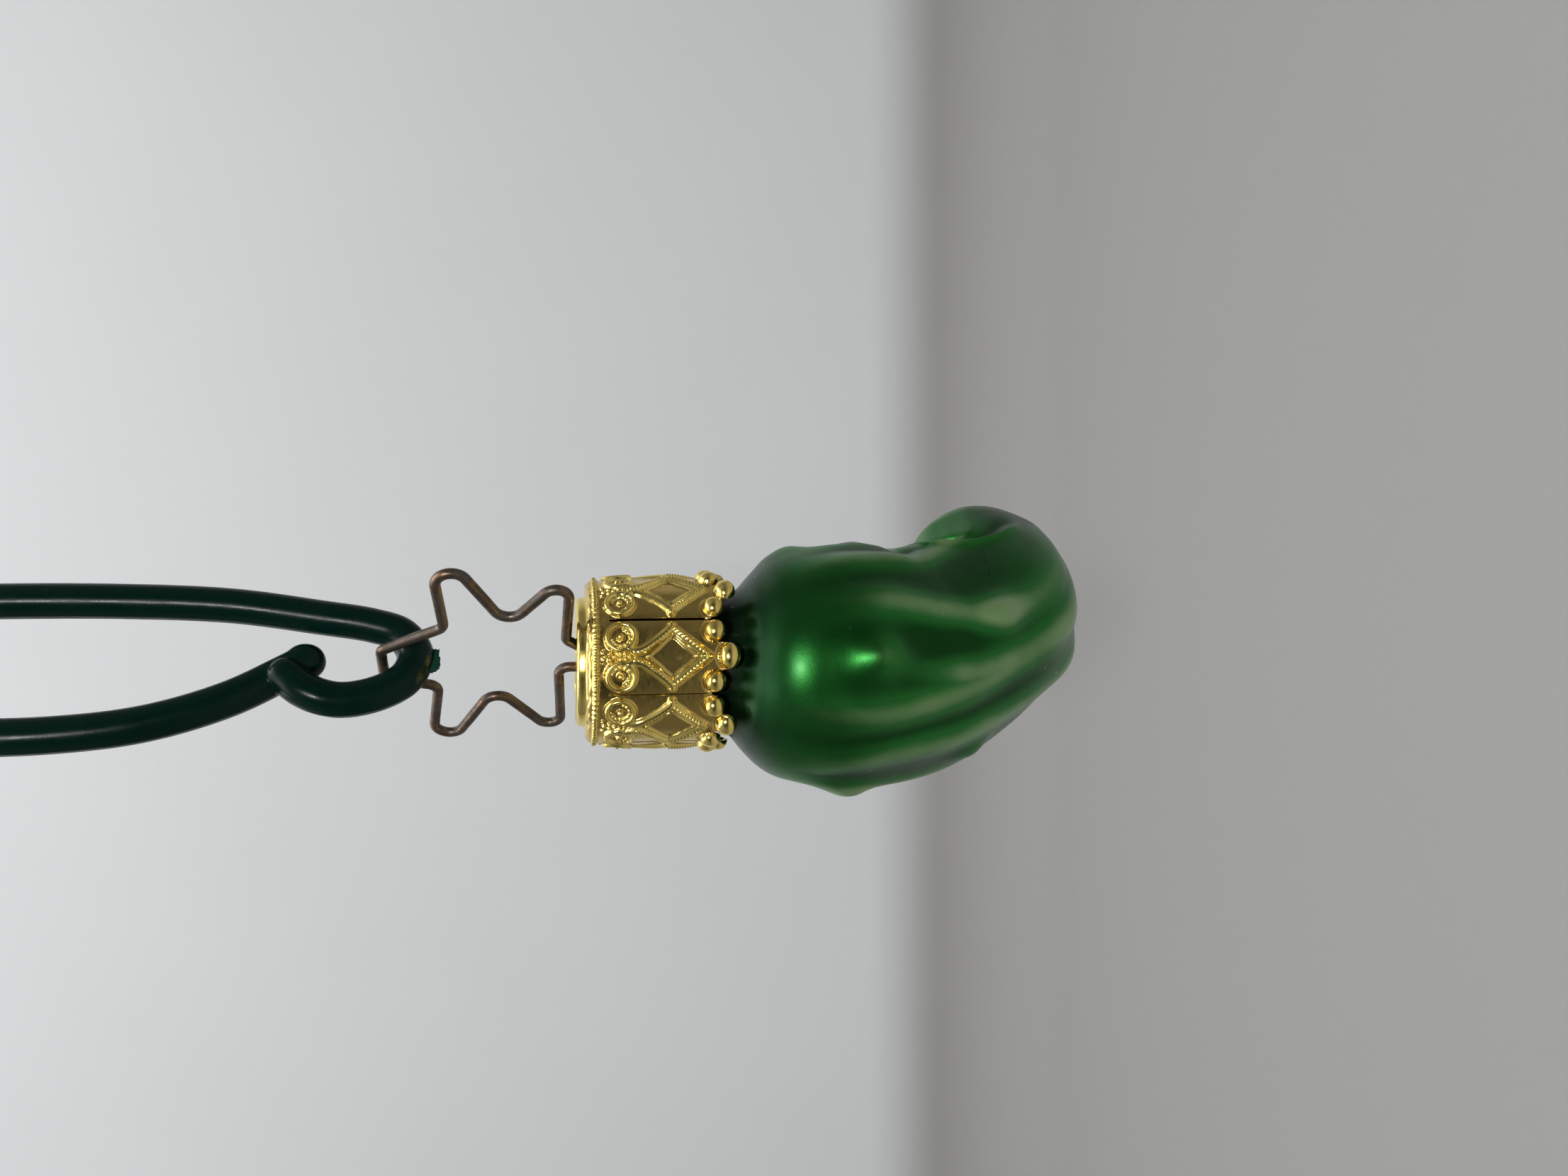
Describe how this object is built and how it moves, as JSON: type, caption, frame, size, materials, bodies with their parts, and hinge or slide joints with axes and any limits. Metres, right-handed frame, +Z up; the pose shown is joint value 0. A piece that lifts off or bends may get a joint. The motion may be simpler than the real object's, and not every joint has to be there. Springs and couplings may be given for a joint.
{
  "type": "christmas tree ornament",
  "caption": "Blown-glass gherkin tree ornament with a ribbed, bent glass shell, a stamped crown cap, a star-shaped wire hanger and a moulded plastic tree hook.",
  "frame": {"origin": "inside of the top of the hook's long loop, where a branch carries it", "axes": "+Z up the hanging line, which is the cap's axis; +X across it, with the hook's plane turned 35 degrees from +X towards +Y"},
  "size_m": [0.0246, 0.0267, 0.1116],
  "materials": {
    "hook_plastic": "very dark green moulded plastic, satin",
    "hanger_wire": "copper-washed spring wire, darkened with age",
    "cap_metal": "stamped thin sheet, polished gold",
    "silvered_glass": "green glass silvered inside, satin metallic"
  },
  "bodies": {
    "hook": {"tree_hook": "hook_plastic"},
    "hanger": {"spring_hanger": "hanger_wire"},
    "cap": {"crown_cap": "cap_metal"},
    "glass": {"glass_body": "silvered_glass"}
  },
  "joints": [
    {"name": "hanger_swing", "type": "hinge", "parent": "hook", "child": "hanger", "pos_m": [0.00039, 0.00028, -0.0513], "axis": [0.8192, 0.5736, 0], "range_deg": [-45, 45]},
    {"name": "cap_rock", "type": "hinge", "parent": "hanger", "child": "cap", "pos_m": [0.00033, -0.00037, -0.0643], "axis": [0.6691, -0.7431, 0], "range_deg": [-6, 6]},
    {"name": "glass_pull_off", "type": "slide", "parent": "cap", "child": "glass", "axis": [0, 0, -1], "range_m": [0, 0.017]}
  ]
}
